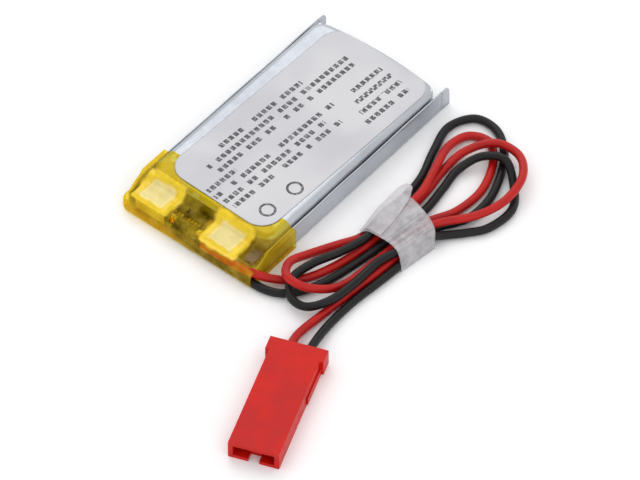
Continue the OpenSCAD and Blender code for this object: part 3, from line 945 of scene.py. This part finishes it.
FINISHES = {
    "aluminium_tab": simple_finish("aluminium_tab", colour(206, 206, 204), colour(236, 236, 232),
                                   0.5, 0.35, 0.4, 0.03),
    "nickel": simple_finish("nickel", colour(186, 182, 168), colour(218, 214, 200),
                            0.9, 0.9, 0.3, 0.01),
    "solder": simple_finish("solder", colour(170, 170, 170), colour(214, 214, 212),
                            1.4, 0.9, 0.28, 0.03),
    "seal_film": simple_finish("seal_film", colour(206, 200, 182), colour(230, 226, 210),
                               0.8, 0.0, 0.42, 0.01),
    "foam": simple_finish("foam", colour(206, 204, 196), colour(232, 230, 222),
                          3.0, 0.0, 0.85, 0.06),
    "chip_black": chip_with_legs(),
    "chip_ceramic": simple_finish("chip_ceramic", colour(150, 120, 84), colour(196, 176, 140),
                                  1.8, 0.0, 0.4, 0.01),
    "copper_strand": simple_finish("copper_strand", colour(186, 104, 62), colour(226, 158, 112),
                                   2.0, 0.9, 0.3, 0.03),
    "tinned_brass": simple_finish("tinned_brass", colour(176, 168, 140), colour(214, 206, 176),
                                  1.2, 0.9, 0.3, 0.01),
    "anode_coating": simple_finish("anode_coating", colour(30, 30, 33), colour(52, 52, 56),
                                   1.5, 0.1, 0.7, 0.01),
    "cathode_coating": simple_finish("cathode_coating", colour(44, 44, 48), colour(70, 70, 74),
                                     1.5, 0.1, 0.7, 0.01),
    "separator_film": simple_finish("separator_film", colour(226, 226, 222),
                                    colour(242, 242, 238), 0.6, 0.0, 0.45, 0.01),
    "stack_tape": simple_finish("stack_tape", colour(40, 118, 92), colour(66, 148, 116),
                                0.8, 0.0, 0.35, 0.01),
    "board_laminate": board_finish(),
    "red_plastic": simple_finish("red_plastic", colour(184, 9, 3), colour(208, 26, 9),
                                 0.25, 0.0, 0.42, 0.02, 0.22),
}

# %% Finishes and bevels on the CAD nodes
KEPT = {
    "anode_plates": "anode_coating", "cathode_plates": "cathode_coating",
    "separator": "separator_film", "stack_tape": "stack_tape",
    "positive_tab": "aluminium_tab", "negative_tab": "aluminium_tab",
    "positive_tab_film": "seal_film", "negative_tab_film": "seal_film",
    "board_pad": "foam", "protection_board": "board_laminate",
    "positive_weld_plate": "nickel", "negative_weld_plate": "nickel",
    "protection_ic": "chip_black", "mosfet": "chip_black",
    "resistors": "chip_ceramic", "capacitors": "chip_ceramic",
    "positive_solder": "solder", "negative_solder": "solder",
    "red_strands": "copper_strand", "black_strands": "copper_strand",
    "connector_housing": "red_plastic",
    "positive_contact": "tinned_brass", "negative_contact": "tinned_brass",
}
BEVELS = {"connector_housing": 0.22, "protection_board": 0.05, "mosfet": 0.06,
          "protection_ic": 0.05}
for node_name, finish_name in KEPT.items():
    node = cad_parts[node_name]
    node.data.materials.clear()
    node.data.materials.append(FINISHES[finish_name])
    if node_name in BEVELS:
        merge = node.modifiers.new("merge", "WELD")
        merge.merge_threshold = 0.001 * MM
        flat = node.modifiers.new("flat faces", "DECIMATE")
        flat.decimate_type, flat.angle_limit = "DISSOLVE", math.radians(1)
        bevel = node.modifiers.new("soft edges", "BEVEL")
        bevel.width = BEVELS[node_name] * MM
        bevel.segments = 3
        bevel.limit_method, bevel.angle_limit = "ANGLE", math.radians(40)
print("finishes on", len(KEPT), "CAD nodes")

# %% [markdown]
# ## Floor and light
# The part lies on plain white paper, lit from all round by a bright white room and by two
# large soft lamps, a stronger one high on the left and a weaker one on the right, so the foil
# has tone without hard shadows.
# %% Floor
FLOOR_HALF = 3.0


def make_floor():
    material, shader, place = start_finish("paper")
    fill(shader,
         Base_Color=place.noise(0.02).between(colour(250, 250, 251), colour(253, 253, 254)),
         Roughness=0.9, Specular_IOR_Level=0.1)
    mesh = bpy.data.meshes.new("floor")
    mesh.from_pydata([(x * FLOOR_HALF, y * FLOOR_HALF, 0)
                      for x, y in ((-1, -1), (1, -1), (1, 1), (-1, 1))], [], [(0, 1, 2, 3)])
    mesh.materials.append(material)
    floor = bpy.data.objects.new("floor", mesh)
    bpy.context.scene.collection.objects.link(floor)


make_floor()

# %% Lamps and room
AIM, LAMP_SIZE, ROOM_LIGHT = Vector((0.01, -0.01, 0)), 0.4, 0.97


def soft_lamp(name, place, watts):
    data = bpy.data.lights.new(name, "AREA")
    data.shape, data.size, data.energy = "SQUARE", LAMP_SIZE, watts
    lamp = bpy.data.objects.new(name, data)
    lamp.location = place
    lamp.rotation_euler = (Vector(place) - AIM).to_track_quat("Z", "Y").to_euler()
    bpy.context.scene.collection.objects.link(lamp)


soft_lamp("high_left_lamp", (-0.35, 0.25, 0.55), 0.75)
soft_lamp("right_lamp", (0.5, -0.2, 0.45), 0.35)
world = bpy.data.worlds.new("room")
bpy.context.scene.world = world
world.use_nodes = True
background = world.node_tree.nodes["Background"]
background.inputs["Color"].default_value = (1, 1, 1, 1)
background.inputs["Strength"].default_value = ROOM_LIGHT
bpy.context.scene.view_settings.view_transform = "Standard"
